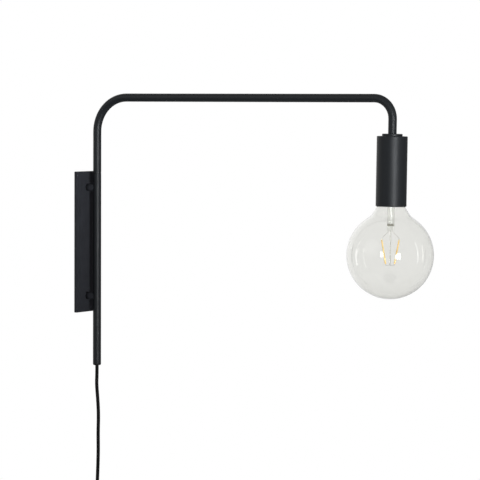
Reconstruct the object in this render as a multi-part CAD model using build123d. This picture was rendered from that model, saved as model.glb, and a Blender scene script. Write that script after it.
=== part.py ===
from build123d import *
import math
import os

# Wall lamp: a swing arm on a wall plate, a cup with a globe bulb, and a hanging mains cord.
# Sizes are in millimetres. The wall is the plane y = 0, the lamp stands out along -Y, and +Z is up.
# The origin is the middle of the wall plate's back, and the arm points straight out of the wall.

# Wall plate: a shallow folded tray, closed behind by a plate with two keyholes
plate_width = 60.0
plate_height = 215.0
plate_depth = 5.0
plate_sheet = 1.2
plate_corner_radius = 1.5
plate_edge_radius = 1.0
keyhole_spacing = 110.0
keyhole_entry_radius = 4.5
keyhole_slot_width = 4.6
keyhole_slot_rise = 9.0
access_clearance = 1.0

# Stand-offs that carry the column, and their screws
standoff_radius = 5.5
standoff_inset = 24.6
standoff_screw_radius = 2.0
standoff_screw_length = 9.0
standoff_head_radius = 3.8
standoff_head_height = 2.2
screw_hole_clearance = 0.2
tool_recess_radius = 1.2
tool_recess_depth = 1.0

# Column and arm, bent from one size of tube
tube_radius = 6.2
tube_wall = 1.0
tube_offset = 17.2
column_tail = 81.5
seam_drop = 2.7
arm_rise = 112.7
arm_reach = 500.0
arm_bend_radius = 51.8
end_bend_radius = 29.5
end_bend_excess = 0.78

# Swivel in the top of the column
bush_bore_radius = 4.2
bush_length = 28.0
bush_flange_height = 1.2
bush_flange_step = 0.4
spigot_length = 25.0
spigot_seat_length = 22.0
running_clearance = 0.04
swivel_gap = 0.1
stop_screw_radius = 1.5
stop_screw_gap = 0.9
stop_screw_proud = 0.4
stop_groove_depth = 0.65
stop_clearance = 0.25
swing_limit = 85.0

# Bush where the cord leaves the column
cord_bush_nose = 3.6
cord_bush_rounding = 2.2
cord_bush_shank = 18.0

# Cord
cord_radius = 2.65
cord_clearance = 0.3

# Cup, collar and the threaded tube that clamps them to the arm
drop_to_cup = 54.7
collar_radius = 14.8
collar_height = 3.4
collar_rounding = 0.7
cup_radius = 22.3
cup_length = 101.3
cup_wall = 1.2
cup_top_rounding = 1.0
cup_rim_rounding = 1.0
nipple_bore_radius = 3.2
nipple_seat_length = 15.0
nipple_hole_clearance = 0.1
nut_width = 14.0
nut_height = 3.0

# Lampholder
holder_radius = 17.0
holder_cap_height = 18.0
holder_cap_top_radius = 10.0
holder_wall = 2.2
holder_floor = 5.0
holder_thread_length = 8.0
shell_wall = 0.5
shell_clearance = 0.15
contact_width = 6.0
contact_thickness = 0.8
contact_rise = 2.4
terminal_size = 5.0
terminal_spacing = 14.0
holder_rest_gap = 0.15

# Globe bulb, measured from the middle of its globe along its own axis
drop_to_globe = 226.8
globe_radius = 63.3
globe_end_angle = 56.0
shoulder_flat = 4.2
shoulder_radius = 20.0
neck_slope = 59.5
neck_radius = 12.3
neck_fillet_radius = 12.0
neck_length = 5.0
glass_wall = 0.8
stem_radius = 5.3
stem_wall = 0.9
stem_flare_height = 4.0
pinch_top = 45.0
pinch_bottom = 36.0
pinch_thickness = 4.4
post_radius = 1.0
filament_radius = 1.0
filament_top = 22.5
filament_bottom = -12.4
filament_top_spread = 12.6
filament_bottom_spread = 6.4
filament_turn = -61.0
wire_radius = 0.35
wire_spread = 3.2
wire_tail = 2.0
wire_bend_radius = 0.9

# Screw cap of the bulb
thread_radius = 13.1
thread_depth = 0.8
thread_pitch = 3.629
thread_count = 5
cap_wall = 0.5
cap_skirt_length = 4.0
insulator_height = 3.2
contact_radius = 4.8
contact_height = 1.0
thread_clearance = 0.35

# In-line switch
switch_width = 26.0
switch_depth = 18.0
switch_length = 46.0
switch_nose_length = 8.0
switch_nose_radius = 4.6
switch_corner_radius = 7.0
switch_edge_radius = 2.5
rocker_width = 13.0
rocker_reach = 9.6
rocker_thickness = 7.0
rocker_angle = 10.0
rocker_pin_radius = 1.2
rocker_pin_length = 1.6
rocker_pin_depth = 3.0
rocker_clearance = 0.4
contact_pocket_depth = 5.5
switch_terminal_size = 3.0
switch_terminal_length = 11.0
switch_terminal_spacing = 7.0
switch_screw_radius = 1.25
switch_screw_head_radius = 2.4
switch_screw_head_height = 1.6
switch_screw_length = 11.0
switch_screw_across = 7.6
switch_screw_along = 16.0

# Coil that puts the spare cord away, its tie, and the plug
coil_outer_radius = 37.0
coil_turns = 9
coil_layers = 4
coil_turn_gap = 0.7
coil_end_angle = 180.0
coil_arcs_per_turn = 4
tie_width = 12.0
tie_thickness = 1.2
tie_clearance = 0.5
tie_angle = 20.0
tail_length = 12.0
plug_width = 35.0
plug_thickness = 13.7
plug_body_length = 22.0
plug_neck_width = 15.0
plug_neck_thickness = 11.0
plug_relief_length = 21.0
plug_relief_radius = 3.6
plug_corner_radius = 5.0
pin_radius = 2.0
pin_length = 19.0
pin_spacing = 18.6
pin_seat = 6.0

# Routes of the hanging cord, counted from where it leaves the bush and where it leaves the switch
hanging_route = [
    (0.0, 0.0, 0.0),
    (0.0, 0.0, -15.2),
    (-0.3, 0.5, -29.2),
    (0.7, -1.2, -53.2),
    (1.2, -2.2, -76.2),
    (0.9, -1.6, -104.2),
    (1.1, -1.9, -130.2),
    (0.7, -1.2, -155.2),
    (0.0, 0.0, -178.2),
    (0.0, 0.0, -193.2),
]
link_route = [
    (0.0, 0.0, 0.0),
    (0.0, 0.0, -16.0),
    (-8.5, 0.0, -34.1),
    (-22.2, 0.0, -45.7),
]

# Places that follow from the sizes
axis_y = -(plate_depth + tube_offset)
tube_bore = tube_radius - tube_wall
nipple_radius = tube_bore
standoff_height = plate_height / 2 - standoff_inset
seam_height = plate_height / 2 - seam_drop
arm_height = plate_height / 2 + arm_rise
column_bottom = -plate_height / 2 - column_tail
arm_bottom = seam_height + bush_flange_height + swivel_gap
lead_split = seam_height + bush_flange_height / 2
spigot_bore = cord_radius + cord_clearance
column_end = column_bottom + cord_bush_nose
thread_root = thread_radius - thread_depth
shell_inner = thread_radius + thread_clearance
cord_step = 2 * cord_radius + coil_turn_gap

BASE = (Align.CENTER, Align.CENTER, Align.MIN)


def rod(radius, low, high):
    return Pos(0, 0, low) * Cylinder(radius, high - low, align=BASE)


def ring(outer, inner, low, high):
    return rod(outer, low, high) - rod(inner, low, high)


def rod_out(radius, near, far):
    # a rod that points away from the wall, between two distances from it
    return Rot(90, 0, 0) * rod(radius, near, far)


def block(x_low, x_high, y_low, y_high, z_low, z_high):
    box = Box(x_high - x_low, y_high - y_low, z_high - z_low)
    return Pos((x_low + x_high) / 2, (y_low + y_high) / 2, (z_low + z_high) / 2) * box


def turned(points):
    # a solid of revolution about Z from (radius, height) points
    outline = make_face(Polyline(*[(r, 0, h) for r, h in points], close=True))
    return revolve(outline, axis=Axis.Z)


def tube_along(path, radius, bore=0.0):
    section = Circle(radius)
    if bore:
        section -= Circle(bore)
    return sweep(Plane(origin=path @ 0, z_dir=path % 0) * section, path=path)


def turn_at(before, corner, after):
    return math.radians((Vector(*corner) - Vector(*before)).get_angle(Vector(*after) - Vector(*corner)))


def cord_path(points):
    # straight runs joined by arcs as large as the runs allow
    radii = []
    for before, corner, after in zip(points, points[1:], points[2:]):
        shorter = min(math.dist(before, corner), math.dist(corner, after))
        radii.append(0.45 * shorter / math.tan(turn_at(before, corner, after) / 2))
    print("cord bend radii:", [round(r) for r in radii])
    return FilletPolyline(*points, radius=radii)


def on_column(shape):
    return Pos(0, axis_y, 0) * shape


# Wall plate

def wall_plate():
    tray = block(-plate_width / 2, plate_width / 2, -plate_depth, 0, -plate_height / 2, plate_height / 2)
    tray = fillet(tray.edges().filter_by(Axis.Y), plate_corner_radius)
    tray = fillet(tray.faces().sort_by(Axis.Y)[0].edges(), plate_edge_radius)
    half_width = plate_width / 2 - plate_sheet
    half_height = plate_height / 2 - plate_sheet
    tray -= block(-half_width, half_width, plate_sheet - plate_depth, 0, -half_height, half_height)
    for side in (-1, 1):
        hole = rod_out(standoff_screw_radius + screw_hole_clearance, 0, plate_depth)
        tray -= Pos(0, 0, side * standoff_height) * hole
    return tray


def keyhole():
    slot_top = keyhole_slot_rise
    slot = keyhole_slot_width / 2
    cut = rod_out(keyhole_entry_radius, 0, plate_sheet)
    cut += block(-slot, slot, -plate_sheet, 0, 0, slot_top)
    return cut + Pos(0, 0, slot_top) * rod_out(slot, 0, plate_sheet)


def back_plate():
    half_width = plate_width / 2 - plate_sheet
    half_height = plate_height / 2 - plate_sheet
    plate = block(-half_width, half_width, -plate_sheet, 0, -half_height, half_height)
    for side in (-1, 1):
        plate -= Pos(0, 0, side * keyhole_spacing / 2) * keyhole()
        access = rod_out(standoff_head_radius + access_clearance, 0, plate_sheet)
        plate -= Pos(0, 0, side * standoff_height) * access
    return plate


def standoff(side):
    post = rod_out(standoff_radius, plate_depth, -axis_y)
    post -= on_column(rod(tube_radius, -standoff_radius, standoff_radius))
    post -= rod_out(standoff_screw_radius, plate_depth, plate_depth + standoff_screw_length)
    return Pos(0, 0, side * standoff_height) * post


def standoff_screw(side):
    seat = plate_depth - plate_sheet
    screw = rod_out(standoff_screw_radius, seat, plate_depth + standoff_screw_length)
    screw += rod_out(standoff_head_radius, seat - standoff_head_height, seat)
    recess_floor = seat - standoff_head_height + tool_recess_depth
    screw -= rod_out(tool_recess_radius, seat - standoff_head_height, recess_floor)
    return Pos(0, 0, side * standoff_height) * screw


# Column and swivel

def stop_height():
    return standoff_height + standoff_radius + stop_screw_gap + stop_screw_radius


def column_tube():
    tube = ring(tube_radius, tube_bore, column_end, seam_height)
    tube -= Pos(0, 0, stop_height()) * rod_out(stop_screw_radius, -tube_radius, 0)
    return on_column(tube)


def swivel_bush():
    bush = rod(tube_bore, seam_height - bush_length, seam_height)
    bush += rod(tube_radius - bush_flange_step, seam_height, seam_height + bush_flange_height)
    bush -= rod(bush_bore_radius, seam_height - bush_length, seam_height + bush_flange_height)
    bush -= Pos(0, 0, stop_height()) * rod_out(stop_screw_radius, -tube_radius, 0)
    return on_column(bush)


def groove_floor():
    return bush_bore_radius - running_clearance - stop_groove_depth


def stop_screw():
    tip = groove_floor() + stop_clearance
    screw = rod_out(stop_screw_radius, -tube_radius - stop_screw_proud, -tip)
    recess = rod_out(tool_recess_radius / 2, -tube_radius - stop_screw_proud, -tube_radius)
    return on_column(Pos(0, 0, stop_height()) * (screw - recess))


def swivel_spigot():
    shank = bush_bore_radius - running_clearance
    spigot = rod(shank, arm_bottom - spigot_length, arm_bottom)
    spigot += rod(tube_bore, arm_bottom, arm_bottom + spigot_seat_length)
    half_height = stop_screw_radius + stop_clearance
    groove = ring(shank + 1, groove_floor(), stop_height() - half_height, stop_height() + half_height)
    screw_angle = math.degrees(math.asin(half_height / groove_floor()))
    land = 180 - swing_limit - screw_angle
    wedge = Polyline((0, 0), polar(-90 - land), polar(-90), polar(-90 + land), close=True)
    wedge = extrude(make_face(wedge), arm_height)
    spigot -= groove - wedge
    spigot -= rod(spigot_bore, arm_bottom - spigot_length, arm_bottom + spigot_seat_length)
    return on_column(spigot)


def polar(angle):
    # a point well outside the tube, in the direction of an angle
    far = 4 * tube_radius
    return (far * math.cos(math.radians(angle)), far * math.sin(math.radians(angle)))


def cord_bush():
    nose = rod(tube_radius, column_bottom, column_end)
    nose = fillet(nose.edges().group_by(Axis.Z)[0], cord_bush_rounding)
    bush = nose + rod(tube_bore, column_end, column_end + cord_bush_shank)
    bush -= rod(cord_radius, column_bottom, column_end + cord_bush_shank)
    return on_column(bush)


def lead_lower():
    return on_column(rod(cord_radius, column_bottom, lead_split - swivel_gap))


# Arm, whose end bend turns a little more than square, so the cup hangs slightly back

lean = math.radians(end_bend_excess)
arm_end_y = axis_y - arm_reach
head = Plane(origin=(0, arm_end_y, arm_height), x_dir=(1, 0, 0), z_dir=(0, -math.sin(lean), math.cos(lean)))
tube_drop = drop_to_cup - collar_height


def arm_path(low, drop):
    end = head.from_local_coords(Vector(0, 0, -drop))
    points = [(0, axis_y, low), (0, axis_y, arm_height), (0, arm_end_y, arm_height), tuple(end)]
    return FilletPolyline(*points, radius=[arm_bend_radius, end_bend_radius])


def arm_tube():
    return tube_along(arm_path(arm_bottom, tube_drop), tube_radius, tube_bore)


# Cup and what clamps it, built down the arm's end with z = 0 on the arm's axis

cup_top = -drop_to_cup
cup_rim = cup_top - cup_length
globe_height = -drop_to_globe


def collar():
    disc = rod(collar_radius, cup_top, cup_top + collar_height)
    disc = fillet(disc.edges().group_by(Axis.Z)[-1], collar_rounding)
    return disc - rod(nipple_radius, cup_top, cup_top + collar_height)


def socket_cup():
    cup = rod(cup_radius, cup_rim, cup_top)
    cup = fillet(cup.edges().group_by(Axis.Z)[-1], cup_top_rounding)
    cup = fillet(cup.edges().group_by(Axis.Z)[0], cup_rim_rounding)
    cup -= rod(cup_radius - cup_wall, cup_rim, cup_top - cup_wall)
    return cup - rod(nipple_radius + nipple_hole_clearance, cup_rim, cup_top)


# Bulb outline: a globe that runs straight on into a hollow shoulder, a sloping neck and a straight end

def bulb_outline(inset):
    end = math.radians(globe_end_angle)
    slope = math.radians(neck_slope)
    globe = globe_radius - inset
    shoulder = shoulder_radius + inset
    fillet_arc = neck_fillet_radius + inset
    globe_end = Vector(globe * math.cos(end), 0, globe * math.sin(end))
    start = math.pi / 2 - end
    onward = Vector(-math.sin(end), 0, math.cos(end))
    flat_end = globe_end + shoulder_flat * onward
    shoulder_end = flat_end + shoulder * Vector(
        math.sin(start) - math.sin(slope), 0, math.cos(start) - math.cos(slope))
    neck = neck_radius - inset
    bend_x = neck + fillet_arc * (1 - math.sin(slope))
    bend = Vector(bend_x, 0, shoulder_end.Z + (shoulder_end.X - bend_x) * math.tan(slope))
    neck_start = Vector(neck, 0, bend.Z + fillet_arc * math.cos(slope))
    neck_end = Vector(neck, 0, neck_start.Z + neck_length)
    half = end / 2 - math.pi / 4
    lines = [
        ThreePointArc((0, 0, -globe), (globe * math.cos(half), 0, globe * math.sin(half)), globe_end),
        Line(globe_end, flat_end),
        TangentArc(flat_end, shoulder_end, tangent=onward),
        Line(shoulder_end, bend),
        TangentArc(bend, neck_start, tangent=(-math.cos(slope), 0, math.sin(slope))),
        Line(neck_start, neck_end),
        Line(neck_end, (0, 0, neck_end.Z)),
        Line((0, 0, neck_end.Z), (0, 0, -globe)),
    ]
    return make_face(lines), neck_start.Z, neck_end.Z


globe_face, neck_low, neck_high = bulb_outline(0)
cap_low = neck_low
thread_low = cap_low + cap_skirt_length
thread_high = thread_low + thread_count * thread_pitch
contact_top = thread_high + insulator_height + contact_height


def bulb_glass():
    return revolve(globe_face, axis=Axis.Z) - revolve(bulb_outline(glass_wall)[0], axis=Axis.Z)


def thread_points(radius, depth):
    # one crest for each turn, root to root
    points = [(radius - depth, thread_low)]
    for turn in range(thread_count):
        low = thread_low + turn * thread_pitch
        points.append((radius, low + 0.35 * thread_pitch))
        points.append((radius, low + 0.65 * thread_pitch))
        points.append((radius - depth, low + thread_pitch))
    return points


def bulb_cap():
    outer = [(neck_radius + cap_wall, cap_low), (neck_radius + cap_wall, thread_low)]
    outer += thread_points(thread_radius, thread_depth)
    bore = thread_root - cap_wall
    inner = [(bore, thread_high), (bore, neck_high), (neck_radius, neck_high), (neck_radius, cap_low)]
    return turned(outer + inner)


def bulb_insulator():
    bore = thread_root - cap_wall
    top = thread_high + insulator_height
    points = [(0, thread_high - cap_wall), (bore, thread_high - cap_wall), (bore, thread_high)]
    points += [(thread_root, thread_high), (contact_radius, top), (0, top)]
    return turned(points)


def bulb_contact():
    low = thread_high + insulator_height
    button = rod(contact_radius, low, low + contact_height)
    return fillet(button.edges().group_by(Axis.Z)[-1], contact_height / 2)


def bulb_stem():
    # a glass tube that flares out to the neck, closed below by a flat pinch
    inside = neck_radius - glass_wall
    flare = neck_high - stem_flare_height
    points = [(stem_radius, pinch_top), (stem_radius, flare), (inside, neck_high - glass_wall)]
    points += [(inside, neck_high), (stem_radius - stem_wall, flare + glass_wall)]
    points += [(stem_radius - stem_wall, pinch_top)]
    stem = turned(points)
    pinch = block(-stem_radius, stem_radius, -pinch_thickness / 2, pinch_thickness / 2, pinch_bottom, pinch_top)
    pinch = fillet(pinch.edges().filter_by(Axis.Z), pinch_thickness * 0.45)
    return stem + pinch


def filament_ends(side):
    top = Vector(side * filament_top_spread, 0, filament_top)
    bottom = Vector(side * filament_bottom_spread, 0, filament_bottom)
    return top, bottom, (top - bottom).normalized()


def bulb_filament(side):
    top, bottom, along = filament_ends(side)
    return Plane(origin=bottom, z_dir=along) * rod(filament_radius, 0, (top - bottom).length)


def bent_wire(points):
    path = FilletPolyline(*[tuple(p) for p in points], radius=wire_bend_radius)
    return tube_along(path, wire_radius)


def bulb_wires():
    # two leads from the pinch to the filaments' tops, and a bridge between their lower ends
    leads = []
    feet = []
    for side in (-1, 1):
        top, bottom, along = filament_ends(side)
        start = Vector(side * wire_spread, 0, pinch_bottom)
        knee = start - Vector(0, 0, wire_tail)
        leads.append(bent_wire([start, knee, top + along * wire_tail, top]))
        feet.append((bottom, bottom - along * wire_tail))
    bridge = bent_wire([feet[0][0], feet[0][1], feet[1][1], feet[1][0]])
    return leads + [bridge]


def bulb_post():
    _, bottom, along = filament_ends(1)
    return rod(post_radius, (bottom - along * wire_tail).Z + wire_radius, pinch_bottom)


# Lampholder, on the same axis

contact_low = globe_height + contact_top + holder_rest_gap
floor_low = contact_low + contact_rise
floor_high = floor_low + holder_floor
holder_top = floor_high + holder_cap_height
holder_rim = globe_height + cap_low
shell_outer = shell_inner + thread_depth + shell_wall


def threaded_nipple():
    low = holder_top - holder_thread_length
    return ring(nipple_radius, nipple_bore_radius, low, nipple_seat_length - tube_drop)


def nut(low):
    blank = extrude(RegularPolygon(nut_width / math.sqrt(3), 6), nut_height)
    return Pos(0, 0, low) * (blank - rod(nipple_radius, 0, nut_height))


def nipple_nuts():
    return [nut(cup_top - cup_wall - nut_height), nut(holder_top)]


def holder_cap():
    side = holder_cap_height / 2
    inside = holder_radius - holder_wall
    boss = holder_top - holder_thread_length
    points = [(holder_radius, floor_high), (holder_radius, floor_high + side), (holder_cap_top_radius, holder_top)]
    points += [(nipple_radius, holder_top), (nipple_radius, boss), (holder_cap_top_radius - holder_wall, boss)]
    points += [(inside, floor_high + side - holder_wall), (inside, floor_high)]
    return turned(points)


def holder_body():
    body = rod(holder_radius, holder_rim, floor_high)
    return body - rod(shell_outer + shell_clearance, holder_rim, floor_low)


def holder_shell():
    # a screw shell wide enough for the bulb's thread, turned in over the floor
    bottom = floor_low - globe_height
    wave = thread_points(shell_inner + thread_depth, thread_depth)
    lip = thread_root - cap_wall
    inner = wave + [(shell_inner, bottom - shell_wall), (lip, bottom - shell_wall)]
    outer = [(lip, bottom), (shell_inner + shell_wall, bottom)]
    outer += [(r + shell_wall, h) for r, h in reversed(wave)]
    return Pos(0, 0, globe_height) * turned(inner + outer)


def holder_contact():
    half = contact_width / 2
    back = -contact_width
    foot = block(back, half, -half, half, floor_low - contact_thickness, floor_low)
    riser = block(back, back + contact_thickness, -half, half, contact_low, floor_low)
    return foot + riser + block(back, half, -half, half, contact_low, contact_low + contact_thickness)


def holder_terminals():
    half = terminal_size / 2
    cube = block(-half, half, -half, half, floor_high, floor_high + terminal_size)
    cube -= Pos(0, 0, floor_high + half) * Rot(90, 0, 0) * Cylinder(half / 2, terminal_size)
    return [Pos(side * terminal_spacing / 2, 0, 0) * cube for side in (-1, 1)]


def lead_upper():
    return tube_along(arm_path(lead_split + swivel_gap, -floor_high), cord_radius)


# In-line switch, about its own middle, with its rocker on the side away from the wall

cord_exit = Vector(0, axis_y, column_bottom)
hanging_points = [tuple(cord_exit + Vector(*p)) for p in hanging_route]
switch_half_length = switch_length / 2 + switch_nose_length
switch_place = Pos(Vector(*hanging_points[-1]) - Vector(0, 0, switch_half_length))
link_start = Vector(*hanging_points[-1]) - Vector(0, 0, 2 * switch_half_length)
link_points = [tuple(link_start + Vector(*p)) for p in link_route]
rocker_pivot = rocker_pin_depth - switch_depth / 2


def switch_body():
    w, d, l = switch_width / 2, switch_depth / 2, switch_length / 2
    body = block(-w, w, -d, d, -l, l)
    body = fillet(body.edges().filter_by(Axis.Y), switch_corner_radius)
    body = fillet(body.faces().filter_by(Axis.Y).edges(), switch_edge_radius)
    for tilt in (0, 180):
        nose = Cone(switch_nose_radius + switch_edge_radius, switch_nose_radius, switch_nose_length, align=BASE)
        body += Rot(tilt, 0, 0) * Pos(0, 0, l) * nose
    return body


def switch_half(front):
    w, d, l = switch_width, switch_depth, switch_half_length
    y_low, y_high = (-d, 0) if front else (0, d)
    return switch_body() & block(-w, w, y_low, y_high, -l, l)


def switch_screw_places():
    return [Pos(side * switch_screw_across, 0, side * switch_screw_along) for side in (-1, 1)]


def switch_screw(grow):
    # from the back, with its head sunk flush
    back = -switch_depth / 2
    seat = back + switch_screw_head_height
    head_part = rod_out(switch_screw_head_radius + grow, back, seat)
    return head_part + rod_out(switch_screw_radius, seat, seat + switch_screw_length)


def switch_front():
    half = switch_half(True)
    w = rocker_width / 2 + rocker_clearance
    z = rocker_reach + rocker_clearance
    half -= block(-w, w, -switch_depth, 0, -z, z)
    pin = rocker_width / 2 + rocker_pin_length + rocker_clearance
    hole = Rot(0, 90, 0) * Cylinder(rocker_pin_radius + running_clearance, 2 * pin)
    half -= Pos(0, rocker_pivot, 0) * hole
    for place in switch_screw_places():
        half -= place * switch_screw(0)
    return switch_place * half


def switch_back():
    half = switch_half(False)
    w = rocker_width / 2
    z = rocker_reach + switch_terminal_size
    half -= block(-w, w, 0, contact_pocket_depth, -z, z)
    for place in switch_screw_places():
        half -= place * switch_screw(screw_hole_clearance)
    return switch_place * half


def switch_screws():
    screws = []
    for place in switch_screw_places():
        recess = rod_out(tool_recess_radius, -switch_depth / 2, tool_recess_depth - switch_depth / 2)
        screws.append(switch_place * place * (switch_screw(0) - recess))
    return screws


def switch_contacts():
    half = switch_terminal_size / 2
    long = switch_terminal_length / 2
    bar = block(-half, half, contact_pocket_depth - switch_terminal_size, contact_pocket_depth, -long, long)
    return [switch_place * Pos(side * switch_terminal_spacing / 2, 0, 0) * bar for side in (-1, 1)]


def switch_rocker():
    # a shallow V across the top, resting with its lower half pressed in
    w = rocker_width / 2
    rise = rocker_reach * math.tan(math.radians(rocker_angle))
    middle = rocker_pin_depth + rocker_clearance
    low = middle - rocker_thickness
    side = [(-rocker_reach, low), (rocker_reach, low), (rocker_reach, middle + rise)]
    side += [(0, middle), (-rocker_reach, middle + rise)]
    outline = Polyline(*[(-w, -out, along) for along, out in side], close=True)
    key = extrude(make_face(outline), rocker_width, dir=(1, 0, 0))
    key &= Rot(0, 90, 0) * Cylinder(rocker_reach, rocker_width)
    key += Rot(0, 90, 0) * Cylinder(rocker_pin_radius, rocker_width + 2 * rocker_pin_length)
    return switch_place * Pos(0, rocker_pivot, 0) * Rot(rocker_angle, 0, 0) * key


# Coil: the cord spirals in and out in layers, climbing a layer where the spiral turns round

lead_in = (Vector(*link_points[-1]) - Vector(*link_points[-2])).normalized()
coil_start_angle = math.degrees(math.atan2(-lead_in.X, lead_in.Z))
coil_start = Vector(*link_points[-1]) + lead_in * 2 * cord_radius
coil_sweep = coil_turns + (coil_end_angle - coil_start_angle) / 360
layer_turns = coil_sweep / coil_layers
start_radians = math.radians(coil_start_angle)
coil_middle = coil_start - coil_outer_radius * Vector(math.cos(start_radians), 0, math.sin(start_radians))
coil_inner_radius = coil_outer_radius - cord_step * layer_turns


def coil_point(turn):
    layer, done = divmod(turn / layer_turns, 1)
    inward = done if layer % 2 == 0 else 1 - done
    radius = coil_outer_radius - cord_step * layer_turns * inward
    climb = 0.0
    for step in range(1, coil_layers):
        share = min(max((turn - step * layer_turns) * 2 + 0.5, 0), 1)
        climb += share * share * (3 - 2 * share)
    angle = start_radians + 2 * math.pi * turn
    place = Vector(radius * math.cos(angle), -cord_step * climb, radius * math.sin(angle))
    return coil_middle + place


def coil_heading(turn):
    # the ends run on straight in the coil's own plane
    if turn <= 0 or turn >= coil_sweep:
        angle = start_radians + 2 * math.pi * turn
        return Vector(-math.sin(angle), 0, math.cos(angle))
    step = 0.5 / coil_arcs_per_turn
    return (coil_point(turn + step) - coil_point(turn - step)).normalized()


def biarc(start, start_way, end, end_way):
    # two arcs that leave and arrive in the given directions and meet smoothly
    span = end - start
    both = start_way + end_way
    a = 2 * (1 - start_way.dot(end_way))
    b = 2 * span.dot(both)
    c = -span.dot(span)
    reach = (math.sqrt(b * b - 4 * a * c) - b) / (2 * a)
    before = start + start_way * reach
    after = end - end_way * reach
    meet = (before + after) / 2
    first = Edge.make_tangent_arc(start, start_way, meet)
    return [first, Edge.make_tangent_arc(meet, after - before, end)]


def coil_path():
    count = round(coil_sweep * coil_arcs_per_turn)
    turns = [coil_sweep * i / count for i in range(count + 1)]
    points = [coil_point(t) for t in turns]
    points[-1] = coil_middle + Vector(
        coil_outer_radius * math.cos(math.radians(coil_end_angle)),
        -cord_step * (coil_layers - 1),
        coil_outer_radius * math.sin(math.radians(coil_end_angle)))
    ways = [coil_heading(t) for t in turns]
    stub = 2 * cord_radius
    edges = [Edge.make_line(points[0] - ways[0] * stub, points[0])]
    for i in range(count):
        edges += biarc(points[i], ways[i], points[i + 1], ways[i + 1])
    edges.append(Edge.make_line(points[-1], points[-1] + ways[-1] * stub))
    return Wire(edges)


def report_coil(path):
    # the least gap between turns, from points along the middle of the tube
    spacing = cord_radius / 2
    count = int(path.length / spacing)
    points = [tuple(path @ (i / count)) for i in range(count + 1)]
    apart = int(math.pi * coil_inner_radius / spacing)
    least = min(math.dist(p, q) for i, p in enumerate(points) for q in points[i + apart:])
    print(f"coil: length {path.length:.0f}, inner radius {coil_inner_radius:.1f},",
          f"least gap {least - 2 * cord_radius:.2f}")


def cord_coil():
    path = coil_path()
    report_coil(path)
    return tube_along(path, cord_radius)


def cord_tie():
    # a strap round the bundle of turns on the side away from the plug
    half = tie_width / 2
    low = math.sqrt((coil_inner_radius - cord_radius) ** 2 - half ** 2) - tie_clearance
    high = coil_outer_radius + cord_radius + tie_clearance
    back = cord_radius + tie_clearance
    front = -cord_step * (coil_layers - 1) - back
    t = tie_thickness
    strap = block(-half, half, front - t, back + t, low - t, high + t)
    strap -= block(-half, half, front, back, low, high)
    return Pos(coil_middle) * Rot(0, 90 - tie_angle, 0) * strap


tail_start = coil_middle + Vector(-coil_outer_radius, -cord_step * (coil_layers - 1), -2 * cord_radius)
plug_place = Pos(tail_start - Vector(0, 0, tail_length))


def cord_tail():
    return plug_place * rod(cord_radius, 0, tail_length)


def plug_body():
    relief = Cone(plug_neck_thickness / 2, plug_relief_radius, plug_relief_length, align=BASE)
    body = Pos(0, 0, -plug_relief_length) * relief
    neck = RectangleRounded(plug_neck_width, plug_neck_thickness, plug_corner_radius)
    face = RectangleRounded(plug_width, plug_thickness, plug_corner_radius)
    low = -plug_relief_length - plug_body_length
    body += loft([Pos(0, 0, -plug_relief_length) * neck, Pos(0, 0, low) * face])
    for side in (-1, 1):
        body -= Pos(side * pin_spacing / 2, 0, low) * rod(pin_radius, 0, pin_seat)
    return plug_place * body


def plug_pins():
    low = -plug_relief_length - plug_body_length
    pin = rod(pin_radius, -pin_length, pin_seat)
    pin = fillet(pin.edges().group_by(Axis.Z)[0], pin_radius / 2)
    return [plug_place * Pos(side * pin_spacing / 2, 0, low) * pin for side in (-1, 1)]


# Every node and its solid, or its group of solids

def on_head(shape):
    return head * shape


def on_bulb(shape):
    return head * Pos(0, 0, globe_height) * Rot(0, 0, filament_turn) * shape


nodes = {
    "wall_plate": wall_plate(),
    "back_plate": back_plate(),
    "standoff_upper": standoff(1),
    "standoff_lower": standoff(-1),
    "standoff_screws": [standoff_screw(1), standoff_screw(-1)],
    "column_tube": column_tube(),
    "swivel_bush": swivel_bush(),
    "stop_screw": stop_screw(),
    "cord_bush": cord_bush(),
    "lead_lower": lead_lower(),
    "arm_tube": arm_tube(),
    "swivel_spigot": swivel_spigot(),
    "lead_upper": lead_upper(),
    "collar": on_head(collar()),
    "socket_cup": on_head(socket_cup()),
    "threaded_nipple": on_head(threaded_nipple()),
    "nipple_nuts": [on_head(n) for n in nipple_nuts()],
    "holder_cap": on_head(holder_cap()),
    "holder_body": on_head(holder_body()),
    "holder_shell": on_head(holder_shell()),
    "holder_contact": on_head(holder_contact()),
    "holder_terminals": [on_head(t) for t in holder_terminals()],
    "bulb_glass": on_bulb(bulb_glass()),
    "bulb_stem": on_bulb(bulb_stem()),
    "bulb_post": on_bulb(bulb_post()),
    "bulb_wires": [on_bulb(w) for w in bulb_wires()],
    "bulb_filaments": [on_bulb(bulb_filament(side)) for side in (-1, 1)],
    "bulb_cap": on_bulb(bulb_cap()),
    "bulb_insulator": on_bulb(bulb_insulator()),
    "bulb_contact": on_bulb(bulb_contact()),
    "cord_hanging": tube_along(cord_path(hanging_points), cord_radius),
    "switch_front": switch_front(),
    "switch_back": switch_back(),
    "switch_screws": switch_screws(),
    "switch_contacts": switch_contacts(),
    "switch_rocker": switch_rocker(),
    "cord_link": tube_along(cord_path(link_points), cord_radius),
    "cord_coil": cord_coil(),
    "cord_tie": cord_tie(),
    "cord_tail": cord_tail(),
    "plug_body": plug_body(),
    "plug_pins": plug_pins(),
}

os.makedirs("parts", exist_ok=True)
for name, solid in nodes.items():
    if isinstance(solid, list):
        solid = Compound(children=solid)
    export_step(solid, f"parts/{name}.step")
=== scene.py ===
import math

import bmesh
import bpy
from mathutils import Matrix, Vector


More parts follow.
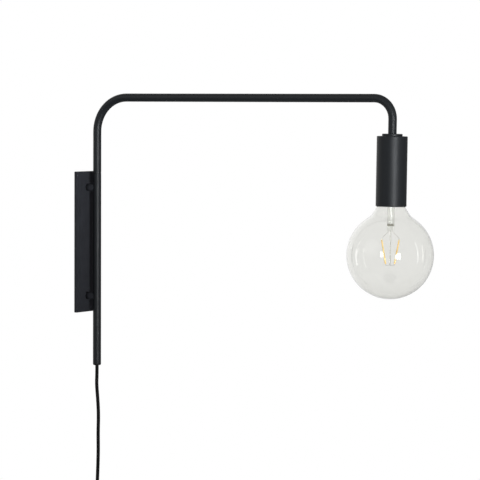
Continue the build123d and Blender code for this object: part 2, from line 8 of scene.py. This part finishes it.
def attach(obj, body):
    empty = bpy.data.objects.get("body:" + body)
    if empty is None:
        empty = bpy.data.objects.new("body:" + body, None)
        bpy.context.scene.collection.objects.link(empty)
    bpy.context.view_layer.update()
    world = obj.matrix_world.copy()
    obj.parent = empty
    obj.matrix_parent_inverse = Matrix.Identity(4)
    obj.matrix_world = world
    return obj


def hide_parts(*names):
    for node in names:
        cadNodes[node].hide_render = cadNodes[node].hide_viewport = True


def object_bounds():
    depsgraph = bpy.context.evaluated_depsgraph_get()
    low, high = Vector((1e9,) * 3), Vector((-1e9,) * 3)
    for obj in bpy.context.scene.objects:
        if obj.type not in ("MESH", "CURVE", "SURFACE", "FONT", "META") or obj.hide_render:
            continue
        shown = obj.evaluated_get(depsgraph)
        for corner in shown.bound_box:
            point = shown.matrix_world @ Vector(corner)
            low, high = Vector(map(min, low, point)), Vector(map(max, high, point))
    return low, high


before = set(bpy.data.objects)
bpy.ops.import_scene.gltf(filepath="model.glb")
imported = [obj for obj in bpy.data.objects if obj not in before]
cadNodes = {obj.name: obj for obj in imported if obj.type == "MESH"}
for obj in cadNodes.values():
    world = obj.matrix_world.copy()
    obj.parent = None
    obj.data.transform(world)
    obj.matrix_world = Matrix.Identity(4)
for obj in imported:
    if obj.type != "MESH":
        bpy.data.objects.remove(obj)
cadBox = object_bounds()
scene = bpy.context.scene
scene.view_settings.view_transform = "Standard"
print("frame loaded,", len(cadNodes), "nodes")


# camera, matched to the lamp's outline
cameraView = {
    "picture": 480,         # pixels across the square picture
    "focal": 2837.47,       # in the same pixels
    "sensor": 36,
    "azimuth": -61.139,
    "elevation": 2.727,
    "roll": 0.208,
    "aside": 0.237797,
    "above": 0.00299,
    "distance": 4.347231,
    "farClip": 50,
}


def facing(azimuth, elevation):
    turn, rise = math.radians(azimuth), math.radians(elevation)
    return Vector((math.sin(turn) * math.cos(rise), -math.cos(turn) * math.cos(rise), math.sin(rise)))


def makeCamera(view):
    back = facing(view["azimuth"], view["elevation"])
    right = facing(view["azimuth"] + 90, 0)
    up = back.cross(right)
    place = back * view["distance"] + right * view["aside"] + up * view["above"]
    roll = math.radians(view["roll"])
    tiltedRight = right * math.cos(roll) + up * math.sin(roll)
    tiltedUp = up * math.cos(roll) - right * math.sin(roll)
    lens = bpy.data.cameras.new("camera")
    lens.sensor_fit = "HORIZONTAL"
    lens.sensor_width = view["sensor"]
    lens.lens = view["focal"] / view["picture"] * view["sensor"]
    lens.clip_end = view["farClip"]
    camera = bpy.data.objects.new("camera", lens)
    turned = Matrix((tiltedRight, tiltedUp, back)).transposed().to_4x4()
    camera.matrix_world = Matrix.Translation(place) @ turned
    scene.collection.objects.link(camera)
    scene.camera = camera


makeCamera(cameraView)
print("camera set")


# mains cord: one smooth line from the column's foot, through the switch and the coil, to the plug
mainsCord = {
    "radius": 0.00265,
    "exit": (0.0, -0.0222, -0.189),
    "hanging": [            # in millimetres from the exit
        (0.0, 0.0, 0.0), (0.0, 0.0, -15.2), (-0.3, 0.5, -29.2), (0.7, -1.2, -53.2), (1.2, -2.2, -76.2),
        (0.9, -1.6, -104.2), (1.1, -1.9, -130.2), (0.8, -1.4, -155.2), (0.4, -0.7, -178.2), (0.0, 0.0, -193.2),
    ],
    "switchLength": 0.062,
    "link": [               # in millimetres from the switch's lower end
        (0.0, 0.0, 0.0), (0.0, 0.0, -16.0), (-8.5, 0.0, -34.1), (-22.2, 0.0, -45.7),
    ],
    "coilRadius": 0.037,
    "coilTurns": 9,
    "coilLayers": 4,
    "coilStep": 0.006,      # from turn to turn and from layer to layer
    "coilEnd": 180.0,
    "climbTurns": 0.5,      # the share of a turn in which it climbs to the next layer
    "pointsPerTurn": 20,
    "tailBend": 0.007,
    "tail": 0.012,
    "length": 2.05,
    "roundness": 5,
    "smoothness": 6,
}


def millimetres(points, start):
    return [Vector(start) + Vector(p) / 1000 for p in points]


def eased(share):
    share = min(max(share, 0), 1)
    return share * share * (3 - 2 * share)


def coilPoints(cord, middle, startAngle):
    # layers of turns that run inwards and outwards by turns, each layer in front of the last
    layers, step = cord["coilLayers"], cord["coilStep"]
    sweep = cord["coilTurns"] + (math.radians(cord["coilEnd"]) - startAngle) / (2 * math.pi)
    layerTurns = sweep / layers
    count = round(sweep * cord["pointsPerTurn"])
    spread = 1 / math.cos(math.pi / cord["pointsPerTurn"])      # the smooth line runs inside its points
    points = []
    for i in range(count + 1):
        turn = sweep * i / count
        layer, done = divmod(min(turn / layerTurns, layers - 1e-6), 1)      # the end stays in the last layer
        inward = done if layer % 2 == 0 else 1 - done
        climb = sum(eased((turn - n * layerTurns) / cord["climbTurns"] + 0.5) for n in range(1, layers))
        reach = (cord["coilRadius"] - step * layerTurns * inward) * spread
        angle = startAngle + 2 * math.pi * turn
        points.append(middle + Vector((reach * math.cos(angle), -step * climb, reach * math.sin(angle))))
    return points


def cordPoints(cord):
    hanging = millimetres(cord["hanging"], cord["exit"])
    link = millimetres(cord["link"], hanging[-1] - Vector((0, 0, cord["switchLength"])))
    leadIn = (link[-1] - link[-2]).normalized()
    startAngle = math.atan2(-leadIn.x, leadIn.z)
    start = link[-1] + leadIn * 2 * cord["radius"]
    middle = start - cord["coilRadius"] * Vector((math.cos(startAngle), 0, math.sin(startAngle)))
    coil = coilPoints(cord, middle, startAngle)
    last = middle + Vector((-cord["coilRadius"], -cord["coilStep"] * (cord["coilLayers"] - 1), 0))
    tail = [last - Vector((0, 0, drop)) for drop in (cord["tailBend"], 2 * cord["radius"] + cord["tail"])]
    return hanging + link + coil + tail, middle


def makeCord(cord):
    points, middle = cordPoints(cord)
    line = bpy.data.curves.new("mainsCord", "CURVE")
    line.dimensions = "3D"
    line.bevel_depth = 1.0      # each point's own radius scales it, and the object's box goes by that radius
    line.bevel_resolution = cord["roundness"]
    line.resolution_u = cord["smoothness"]
    line.use_fill_caps = True
    spline = line.splines.new("NURBS")
    spline.points.add(len(points) - 1)
    for point, place in zip(spline.points, points):
        point.co = (*place, 1)
        point.radius = cord["radius"]
    spline.order_u = 3
    spline.use_endpoint_u = True
    piece = bpy.data.objects.new("mainsCord", line)
    scene.collection.objects.link(piece)
    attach(piece, "wall_frame")
    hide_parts("cord_hanging", "cord_link", "cord_coil", "cord_tail")
    return piece, middle


cordPiece, coilMiddle = makeCord(mainsCord)
print("cord laid, coil about", [round(v, 4) for v in coilMiddle])


# strap that holds the coil: a flat band round the turns, with its free end lapped over
coilStrap = {
    "width": 0.012,
    "thickness": 0.0012,
    "angle": 20.0,
    "low": 0.01925,
    "high": 0.04015,
    "back": 0.00315,
    "front": -0.02115,
    "corner": 0.0035,
    "cornerSteps": 8,
    "lap": 0.007,
    "lapRise": 1.9,         # in thicknesses
    "lapWidth": 0.96,       # in widths
    "rounding": 0.0003,
    "roundingSteps": 2,
}


def strapOutline(strap, grow):
    # corners of the loop in turn, each rounded with a quarter of a circle
    corner = strap["corner"] + grow
    low, high = strap["low"] - grow + corner, strap["high"] + grow - corner
    front, back = strap["front"] - grow + corner, strap["back"] + grow - corner
    points = []
    for y, z, start in ((back, high, 0), (front, high, 90), (front, low, 180), (back, low, 270)):
        for i in range(strap["cornerSteps"] + 1):
            angle = math.radians(start + 90 * i / strap["cornerSteps"])
            points.append((y + corner * math.cos(angle), z + corner * math.sin(angle)))
    return points


def lapOutline(strap, outline):
    # the corner at the front and top, with a short run before it and a longer one after it
    count = strap["cornerSteps"] + 1
    corner = outline[count:2 * count]
    (y0, z0), (y1, z1) = corner[0], corner[-1]
    lap = strap["lap"]
    return [(y0 + lap / 2, z0)] + corner + [(y1, z1 - lap / 2), (y1, z1 - lap)]


def bandMesh(name, strap, inner, outer, width, closed):
    mesh = bmesh.new()
    half = width / 2
    rows = []
    for (y0, z0), (y1, z1) in zip(inner, outer):
        places = [(-half, y0, z0), (half, y0, z0), (half, y1, z1), (-half, y1, z1)]
        rows.append([mesh.verts.new(p) for p in places])
    pairs = list(zip(rows, rows[1:]))
    if closed:
        pairs.append((rows[-1], rows[0]))
    for before, after in pairs:
        for i in range(4):
            j = (i + 1) % 4
            mesh.faces.new((before[i], before[j], after[j], after[i]))
    if not closed:
        mesh.faces.new(rows[0])
        mesh.faces.new(reversed(rows[-1]))
    bmesh.ops.recalc_face_normals(mesh, faces=mesh.faces)
    data = bpy.data.meshes.new(name)
    mesh.to_mesh(data)
    mesh.free()
    data.shade_smooth()
    piece = bpy.data.objects.new(name, data)
    scene.collection.objects.link(piece)
    rounding = piece.modifiers.new("rounding", "BEVEL")
    rounding.width = strap["rounding"]
    rounding.segments = strap["roundingSteps"]
    rounding.limit_method = "ANGLE"
    return piece


def makeStrap(strap):
    inner = strapOutline(strap, 0)
    outer = strapOutline(strap, strap["thickness"])
    over = strapOutline(strap, strap["thickness"] * strap["lapRise"])
    loop = bandMesh("coilStrap", strap, inner, outer, strap["width"], True)
    lapInner, lapOuter = lapOutline(strap, outer), lapOutline(strap, over)
    lap = bandMesh("coilStrapEnd", strap, lapInner, lapOuter, strap["width"] * strap["lapWidth"], False)
    turn = Matrix.Rotation(math.radians(90 - strap["angle"]), 4, "Y")
    for piece in (loop, lap):
        piece.matrix_world = Matrix.Translation(coilMiddle) @ turn
    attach(loop, "wall_frame")
    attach(lap, "wall_frame")
    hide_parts("cord_tie")
    return [loop, lap]


strapPieces = makeStrap(coilStrap)
print("strap made")


# node helpers: an input takes a link from another node's output, or else a plain value
def feed(tree, socket, value):
    if isinstance(value, bpy.types.NodeSocket):
        tree.links.new(value, socket)
    else:
        socket.default_value = value


def setInputs(tree, node, values):
    for name, value in values.items():
        feed(tree, node.inputs[name], value)


def addNode(tree, kind, inputs=None, **settings):
    node = tree.nodes.new(kind)
    for key, value in settings.items():
        setattr(node, key, value)
    setInputs(tree, node, inputs or {})
    return node


def mathNode(tree, operation, *values):
    return addNode(tree, "ShaderNodeMath", dict(enumerate(values)), operation=operation).outputs[0]


def mixTone(tree, share, first, second):
    inputs = {"Factor": share, "A": first, "B": second}
    return addNode(tree, "ShaderNodeMix", inputs, data_type="RGBA").outputs["Result"]


def easedShare(tree, value, start, end, low=0.0, high=1.0):
    # goes from low to high as the value goes from start to end
    inputs = {"Value": value, "From Min": start, "From Max": end, "To Min": low, "To Max": high}
    return addNode(tree, "ShaderNodeMapRange", inputs, interpolation_type="SMOOTHSTEP").outputs["Result"]


def objectPlace(tree):
    return addNode(tree, "ShaderNodeTexCoord").outputs["Object"]


def along(tree, axis, vector):
    return addNode(tree, "ShaderNodeSeparateXYZ", {0: vector}).outputs[axis]


def noiseAt(tree, scale, detail, roughness=0.5):
    inputs = {"Vector": objectPlace(tree), "Scale": scale, "Detail": detail, "Roughness": roughness}
    return addNode(tree, "ShaderNodeTexNoise", inputs).outputs["Fac"]


def startGroup(name, inputs, outputs):
    group = bpy.data.node_groups.new(name, "ShaderNodeTree")
    given, result = group.nodes.new("NodeGroupInput"), group.nodes.new("NodeGroupOutput")
    for socketName, value in inputs.items():
        kind = "NodeSocketColor" if isinstance(value, tuple) else "NodeSocketFloat"
        group.interface.new_socket(socketName, in_out="INPUT", socket_type=kind).default_value = value
    for socketName, kind in outputs.items():
        group.interface.new_socket(socketName, in_out="OUTPUT", socket_type=kind)
    return group, given.outputs, result.inputs


def makeToneGroup():
    # slow drift of a colour, lighter and darker by a share
    inputs = {"Color": (0.5, 0.5, 0.5, 1), "Share": 0.1, "Scale": 30.0}
    group, given, result = startGroup("softTone", inputs, {"Color": "NodeSocketColor"})
    centred = mathNode(group, "SUBTRACT", noiseAt(group, given["Scale"], detail=4), 0.5)
    level = mathNode(group, "MULTIPLY", centred, given["Share"])
    factor = mathNode(group, "MULTIPLY_ADD", level, 2.0, 1.0)
    scaled = addNode(group, "ShaderNodeVectorMath", {0: given["Color"], "Scale": factor}, operation="SCALE")
    feed(group, result["Color"], scaled.outputs[0])
    return group


grainLook = {"fineDetail": 3, "broadDetail": 4, "broadScale": 0.04}     # as a share of the fine scale


def makeGrainGroup(look):
    # fine skin of a coat or moulding: a height for the bump and an uneven roughness
    inputs = {"Scale": 1500.0, "Roughness": 0.4, "Unevenness": 0.05}
    outputs = {"Height": "NodeSocketFloat", "Roughness": "NodeSocketFloat"}
    group, given, result = startGroup("fineGrain", inputs, outputs)
    fine = noiseAt(group, given["Scale"], look["fineDetail"])
    broadScale = mathNode(group, "MULTIPLY", given["Scale"], look["broadScale"])
    broad = noiseAt(group, broadScale, look["broadDetail"])
    centred = mathNode(group, "SUBTRACT", broad, 0.5)
    level = mathNode(group, "MULTIPLY_ADD", centred, given["Unevenness"], given["Roughness"])
    feed(group, result["Height"], fine)
    feed(group, result["Roughness"], level)
    return group


dustLook = {"color": (0.42, 0.41, 0.39, 1), "patchScale": 220.0, "patchDetail": 5, "patchRoughness": 0.6}


def makeDustGroup(look):
    # a thin bloom on what faces up
    inputs = {"Color": (0.5, 0.5, 0.5, 1), "Amount": 0.02}
    group, given, result = startGroup("settledDust", inputs, {"Color": "NodeSocketColor"})
    surface = addNode(group, "ShaderNodeNewGeometry")
    upward = mathNode(group, "MAXIMUM", along(group, "Z", surface.outputs["Normal"]), 0.0)
    patches = noiseAt(group, look["patchScale"], look["patchDetail"], look["patchRoughness"])
    mask = mathNode(group, "MULTIPLY", upward, patches)
    amount = mathNode(group, "MULTIPLY", mask, given["Amount"])
    feed(group, result["Color"], mixTone(group, amount, given["Color"], look["color"]))
    return group


softTone = makeToneGroup()
fineGrain = makeGrainGroup(grainLook)
settledDust = makeDustGroup(dustLook)
print("shader groups built")


def groupNode(tree, group, **values):
    return addNode(tree, "ShaderNodeGroup", values, node_tree=group)


def startMaterial(name):
    material = bpy.data.materials.new(name)
    material.use_nodes = True
    tree = material.node_tree
    return material, tree, tree.nodes["Principled BSDF"]


def driftTone(tree, look):
    tone = groupNode(tree, softTone, Color=look["color"], Share=look["drift"], Scale=look["driftScale"])
    return tone.outputs["Color"]


def surfaceMaterial(name, finish):
    # one finish for coats, mouldings and plain metals: colour drift, dust, grain and bump
    material, tree, skin = startMaterial(name)
    dust = groupNode(tree, settledDust, Color=driftTone(tree, finish), Amount=finish["dust"])
    grain = groupNode(tree, fineGrain, Scale=finish["grainScale"], Roughness=finish["roughness"],
                      Unevenness=finish["unevenness"])
    bump = addNode(tree, "ShaderNodeBump", {
        "Strength": finish["bump"], "Distance": finish["bumpDepth"], "Height": grain.outputs["Height"],
    })
    setInputs(tree, skin, {
        "Base Color": dust.outputs["Color"], "Roughness": grain.outputs["Roughness"],
        "Normal": bump.outputs["Normal"], "Metallic": finish["metallic"], "Specular IOR Level": finish["specular"],
    })
    return material


satinCoat = {
    "color": (0.0058, 0.0082, 0.0108, 1), "drift": 0.18, "driftScale": 45.0, "dust": 0.02,
    "grainScale": 1600.0, "roughness": 0.5, "unevenness": 0.08, "bump": 0.12, "bumpDepth": 0.0002,
    "metallic": 0.0, "specular": 0.45,
}
# the plate and stand-offs carry the tubes' black paint in a matte copy; the matte finish is their own, but the
# much lighter colour is painted light, standing in for the key light the flat plate catches
plateCoat = dict(satinCoat, color=(0.0475, 0.0494, 0.0572, 1), roughness=0.85, specular=0.06)
standoffCoat = dict(plateCoat, color=(0.046, 0.0478, 0.0555, 1), roughness=0.7)
cordJacket = {
    "color": (0.006, 0.006, 0.0055, 1), "drift": 0.2, "driftScale": 90.0, "dust": 0.03,
    "grainScale": 2400.0, "roughness": 0.52, "unevenness": 0.12, "bump": 0.05, "bumpDepth": 0.0002,
    "metallic": 0.0, "specular": 0.16,
}
mouldedPlastic = {
    "color": (0.011, 0.011, 0.0115, 1), "drift": 0.15, "driftScale": 70.0, "dust": 0.03,
    "grainScale": 1900.0, "roughness": 0.46, "unevenness": 0.08, "bump": 0.2, "bumpDepth": 0.0002,
    "metallic": 0.0, "specular": 0.35,
}
rockerPlastic = dict(mouldedPlastic, color=(0.016, 0.016, 0.0165, 1), roughness=0.32, bump=0.06)
bushPlastic = dict(mouldedPlastic, color=(0.006, 0.006, 0.006, 1), roughness=0.55, bump=0.08, specular=0.2)
capInsulator = dict(mouldedPlastic, color=(0.02, 0.02, 0.021, 1), roughness=0.15, bump=0.03)
strapFabric = {
    "color": (0.014, 0.014, 0.0145, 1), "drift": 0.3, "driftScale": 400.0, "dust": 0.05,
    "grainScale": 1200.0, "roughness": 0.85, "unevenness": 0.1, "bump": 0.8, "bumpDepth": 0.0004,
    "metallic": 0.0, "specular": 0.2,
}
zincSteel = {
    "color": (0.56, 0.57, 0.59, 1), "drift": 0.12, "driftScale": 160.0, "dust": 0.02,
    "grainScale": 900.0, "roughness": 0.34, "unevenness": 0.18, "bump": 0.1, "bumpDepth": 0.0002,
    "metallic": 1.0, "specular": 0.5,
}
plainBrass = dict(zincSteel, color=(0.74, 0.53, 0.22, 1), roughness=0.28)
nickelPlate = dict(zincSteel, color=(0.68, 0.66, 0.62, 1), roughness=0.2, bump=0.05)

finishes = {
    "satinCoat": (satinCoat, ["column_tube", "arm_tube", "collar", "socket_cup"]),
    "plateCoat": (plateCoat, ["wall_plate"]),
    "standoffCoat": (standoffCoat, ["standoff_upper", "standoff_lower"]),
    "mouldedPlastic": (mouldedPlastic, [
        "cord_bush", "holder_cap", "holder_body", "switch_front", "switch_back", "plug_body",
    ]),
    "rockerPlastic": (rockerPlastic, ["switch_rocker"]),
    "bushPlastic": (bushPlastic, ["swivel_bush"]),
    "zincSteel": (zincSteel, [
        "back_plate", "standoff_screws", "stop_screw", "threaded_nipple", "nipple_nuts", "swivel_spigot",
        "switch_screws",
    ]),
    "plainBrass": (plainBrass, ["holder_shell", "holder_contact", "holder_terminals", "switch_contacts"]),
    "nickelPlate": (nickelPlate, ["bulb_wires", "bulb_cap", "bulb_contact", "plug_pins"]),
    "capInsulator": (capInsulator, ["bulb_insulator"]),
    "cordJacket": (cordJacket, ["lead_lower", "lead_upper"]),
    "strapFabric": (strapFabric, []),
}

# painted shade at each stand-off's foot: the dark colour and how far from the plate it reaches
standoffFootShade = {"color": (0.01, 0.0104, 0.0121, 1), "plateFace": -0.005, "reach": 0.0075}


def paintFootShade(material, footShade):
    # painted shade: the coat darkens towards the plate, a contact shadow painted in where a stand-off meets it
    tree = material.node_tree
    base = tree.nodes["Principled BSDF"].inputs["Base Color"]
    coat = base.links[0].from_socket
    forward = along(tree, "Y", objectPlace(tree))
    shadeShare = easedShare(tree, forward, footShade["plateFace"] - footShade["reach"], footShade["plateFace"])
    feed(tree, base, mixTone(tree, shadeShare, coat, footShade["color"]))


def dress(piece, material):
    piece.data.materials.clear()
    piece.data.materials.append(material)


made = {}
for name, (finish, nodeNames) in finishes.items():
    made[name] = surfaceMaterial(name, finish)
    for nodeName in nodeNames:
        dress(cadNodes[nodeName], made[name])
# the stand-offs get a painted shadow at their feet
paintFootShade(made["standoffCoat"], standoffFootShade)
dress(cordPiece, made["cordJacket"])
for piece in strapPieces:
    dress(piece, made["strapFabric"])
print("coats, mouldings and metals set")


# clear bulb glass, faintly grey, that lets lamp light through to what is inside
bulbGlass = {
    "color": (0.885, 0.885, 0.866, 1), "drift": 0.01, "driftScale": 20.0,
    "rim": (0.97, 0.97, 0.93, 1), "rimPower": 9.0,
    "band": (0.852, 0.852, 0.83, 1), "bandRim": (0.07, 0.075, 0.045, 1),
    "bandMiddle": -0.0699, "bandHalf": 0.034, "belowShare": 0.0,
    "roughness": 0.0, "ior": 1.47, "shadowTint": (0.9, 0.9, 0.89, 1),
}
stemGlass = {
    "color": (0.93, 0.935, 0.92, 1), "drift": 0.01, "driftScale": 20.0,
    "rim": (0.7, 0.7, 0.66, 1), "rimPower": 4.0,
    # band, bandRim and belowShare: painted shade, a dark line across the pinch and a darker stretch below it
    "band": (0.22, 0.21, 0.15, 1), "bandRim": (0.3, 0.29, 0.22, 1),
    "bandMiddle": 0.0373, "bandHalf": 0.003, "belowShare": 0.15,
    "roughness": 0.08, "ior": 1.5, "shadowTint": (0.9, 0.9, 0.89, 1),
}
postTone = (0.68, 0.68, 0.64, 1)
postGlass = dict(stemGlass, color=postTone, band=postTone, bandRim=stemGlass["rim"], roughness=0.15)


def mixShaders(tree, share, first, second):
    mix = addNode(tree, "ShaderNodeMixShader", {0: share, 1: first.outputs[0], 2: second.outputs[0]})
    feed(tree, tree.nodes["Material Output"].inputs["Surface"], mix.outputs[0])


def glassMaterial(name, glass):
    material, tree, skin = startMaterial(name)
    # the wall is seen edge on round the rim
    slant = addNode(tree, "ShaderNodeLayerWeight")
    edge = mathNode(tree, "POWER", slant.outputs["Facing"], glass["rimPower"])
    # a band of heights is darker, across the lower part of the globe and at the stem's pinch, where it is painted
    # shade for the dark line that refraction draws there; a share of it goes on below
    height = along(tree, "Z", objectPlace(tree))
    away = mathNode(tree, "ABSOLUTE", mathNode(tree, "SUBTRACT", height, glass["bandMiddle"]))
    band = easedShare(tree, away, glass["bandHalf"], 0.0)
    below = mathNode(tree, "LESS_THAN", height, glass["bandMiddle"])
    darker = mathNode(tree, "MAXIMUM", band, mathNode(tree, "MULTIPLY", below, glass["belowShare"]))
    body = mixTone(tree, darker, driftTone(tree, glass), glass["band"])
    rim = mixTone(tree, darker, glass["rim"], glass["bandRim"])
    setInputs(tree, skin, {
        "Base Color": mixTone(tree, edge, body, rim), "Roughness": glass["roughness"],
        "IOR": glass["ior"], "Transmission Weight": 1.0,
    })
    rays = addNode(tree, "ShaderNodeLightPath")
    clear = addNode(tree, "ShaderNodeBsdfTransparent", {"Color": glass["shadowTint"]})
    mixShaders(tree, rays.outputs["Is Shadow Ray"], skin, clear)
    return material


dress(cadNodes["bulb_glass"], glassMaterial("bulbGlass", bulbGlass))
dress(cadNodes["bulb_stem"], glassMaterial("stemGlass", stemGlass))
dress(cadNodes["bulb_post"], glassMaterial("postGlass", postGlass))


# filaments: yellow coating over a row of tiny chips
filamentCoat = {
    "light": (0.92, 0.66, 0.24, 1), "deep": (0.86, 0.5, 0.09, 1), "drift": 0.15, "driftScale": 300.0,
    "chipPitch": 0.0012, "wander": 0.6, "roughness": 0.35, "glow": 0.15, "glowDepth": 0.0008,
}
wavePitch = 0.314       # between the wave texture's bands at a scale of 1


def filamentMaterial(name, coat):
    material, tree, skin = startMaterial(name)
    bands = addNode(tree, "ShaderNodeTexWave", {
        "Vector": objectPlace(tree), "Scale": wavePitch / coat["chipPitch"], "Distortion": coat["wander"],
    }, bands_direction="Z")
    chips = mixTone(tree, bands.outputs["Fac"], coat["light"], coat["deep"])
    setInputs(tree, skin, {
        "Base Color": driftTone(tree, dict(coat, color=chips)), "Roughness": coat["roughness"],
        "Subsurface Weight": coat["glow"], "Subsurface Scale": coat["glowDepth"],
    })
    return material


dress(cadNodes["bulb_filaments"], filamentMaterial("filamentCoat", filamentCoat))
print("bulb dressed")


# stage: white surroundings, a pale round floor under the plug, a key lamp by the camera and two tall strips
surroundings = {
    "fill": 0.12, "fillTilt": 0.8, "mirrorTilt": 0.45,
    "front": 0.26, "turn": 20, "fadeFrom": 0.6, "fadeTo": 1.0,
    "patchAzimuth": -119, "patchElevation": 20, "patchEdge": 0.89, "patchLight": 0.8,
}
floorDisc = {
    "radius": 0.62, "sides": 96, "middle": -0.26, "below": 0.004,
    "color": (0.8, 0.8, 0.79, 1), "drift": 0.02, "driftScale": 6.0, "roughness": 0.7,
    "lift": 0.6, "mirrored": 0.4,
}
lampTarget = Vector((0, -0.26, 0.13))
lampSet = {
    "key": {
        "azimuth": -40, "elevation": 2.2, "distance": 2.8, "aimRise": 0.32,
        "size": (0.62, 1.1), "power": 2.6, "spread": 26.5, "color": (0.94, 0.965, 1.0),
    },
    "leftStrip": {
        "azimuth": -163, "elevation": -8, "distance": 2.2, "aimRise": 0.0,
        "size": (0.3, 1.2), "power": 2.15, "spread": 180, "color": (1.0, 1.0, 1.0),
    },
    "rightStrip": {
        "azimuth": 12, "elevation": 3, "distance": 2.26, "aimRise": 0.0,
        "size": (0.16, 1.6), "power": 1.4, "spread": 180, "color": (0.94, 0.97, 1.0),
    },
}


def towards(tree, outward, direction):
    # 1 where the ray goes in this direction, 0 where it goes across it
    dot = addNode(tree, "ShaderNodeVectorMath", {0: outward, 1: direction}, operation="DOT_PRODUCT")
    return dot.outputs["Value"]


def makeWorld(settings):
    world = bpy.data.worlds.new("surroundings")
    world.use_nodes = True
    tree = world.node_tree
    outward = addNode(tree, "ShaderNodeTexCoord").outputs["Generated"]
    # reflections see the white backdrop behind the lamp and a dimmer room in front of it
    behind = towards(tree, outward, -facing(cameraView["azimuth"] + settings["turn"], 0))
    fade = easedShare(tree, behind, settings["fadeFrom"], settings["fadeTo"], settings["front"])
    # the arm mirrors a soft bright patch, high on the left
    toPatch = towards(tree, outward, facing(settings["patchAzimuth"], settings["patchElevation"]))
    patch = easedShare(tree, toPatch, settings["patchEdge"], 1.0, 0.0, settings["patchLight"])
    # more light comes from above than from below
    height = along(tree, "Z", outward)
    mirrorTilt = mathNode(tree, "MULTIPLY_ADD", height, settings["mirrorTilt"], 1.0)
    fillTilt = mathNode(tree, "MULTIPLY_ADD", height, settings["fillTilt"], 1.0)
    room = mathNode(tree, "MULTIPLY_ADD", fade, mirrorTilt, patch)
    fill = mathNode(tree, "MULTIPLY", fillTilt, settings["fill"])
    # the camera and the glass see plain white, mirrors see the room, and the rest is lit by the fill
    rays = addNode(tree, "ShaderNodeLightPath").outputs
    mirrored = mathNode(tree, "MULTIPLY", rays["Is Glossy Ray"], room)
    others = mathNode(tree, "SUBTRACT", 1.0, rays["Is Glossy Ray"])
    filled = mathNode(tree, "MULTIPLY_ADD", others, fill, mirrored)
    seen = mathNode(tree, "MAXIMUM", rays["Is Camera Ray"], rays["Is Transmission Ray"])
    light = tree.nodes["Background"]
    feed(tree, light.inputs["Color"], (1, 1, 1, 1))
    feed(tree, light.inputs["Strength"], mathNode(tree, "MAXIMUM", seen, filled))
    scene.world = world


def makeLamp(name, lamp):
    source = bpy.data.lights.new(name, "AREA")
    source.shape = "RECTANGLE"
    source.size, source.size_y = lamp["size"]
    source.energy = lamp["power"]
    source.spread = math.radians(lamp["spread"])
    source.color = lamp["color"]
    holder = bpy.data.objects.new(name, source)
    holder.location = lampTarget + facing(lamp["azimuth"], lamp["elevation"]) * lamp["distance"]
    aim = lampTarget + Vector((0, 0, lamp["aimRise"]))
    holder.rotation_euler = (holder.location - aim).to_track_quat("Z", "Y").to_euler()
    scene.collection.objects.link(holder)


def floorMaterial(name, disc):
    material, tree, skin = startMaterial(name)
    setInputs(tree, skin, {"Base Color": driftTone(tree, disc), "Roughness": disc["roughness"]})
    # a lift keeps it pale to the camera, and mirrors and glass see it as part of the white surroundings
    rays = addNode(tree, "ShaderNodeLightPath").outputs
    raised = mathNode(tree, "MULTIPLY", rays["Is Camera Ray"], disc["lift"])
    lift = addNode(tree, "ShaderNodeEmission", {"Strength": raised})
    lifted = addNode(tree, "ShaderNodeAddShader", {0: skin.outputs[0], 1: lift.outputs[0]})
    dimmed = mathNode(tree, "MULTIPLY", rays["Is Glossy Ray"], disc["mirrored"])
    shown = mathNode(tree, "MAXIMUM", dimmed, rays["Is Transmission Ray"])
    glow = addNode(tree, "ShaderNodeEmission", {"Strength": shown})
    shiny = mathNode(tree, "MAXIMUM", rays["Is Glossy Ray"], rays["Is Transmission Ray"])
    mixShaders(tree, shiny, lifted, glow)
    return material


def makeFloor(disc):
    mesh = bmesh.new()
    bmesh.ops.create_circle(mesh, cap_ends=True, segments=disc["sides"], radius=disc["radius"])
    data = bpy.data.meshes.new("floor")
    mesh.to_mesh(data)
    mesh.free()
    floor = bpy.data.objects.new("floor", data)
    floor.location = (0, disc["middle"], cadBox[0].z - disc["below"])
    scene.collection.objects.link(floor)
    dress(floor, floorMaterial("paleFloor", disc))


makeWorld(surroundings)
makeFloor(floorDisc)
for name, lamp in lampSet.items():
    makeLamp(name, lamp)
print("stage lit")


bpy.context.view_layer.update()
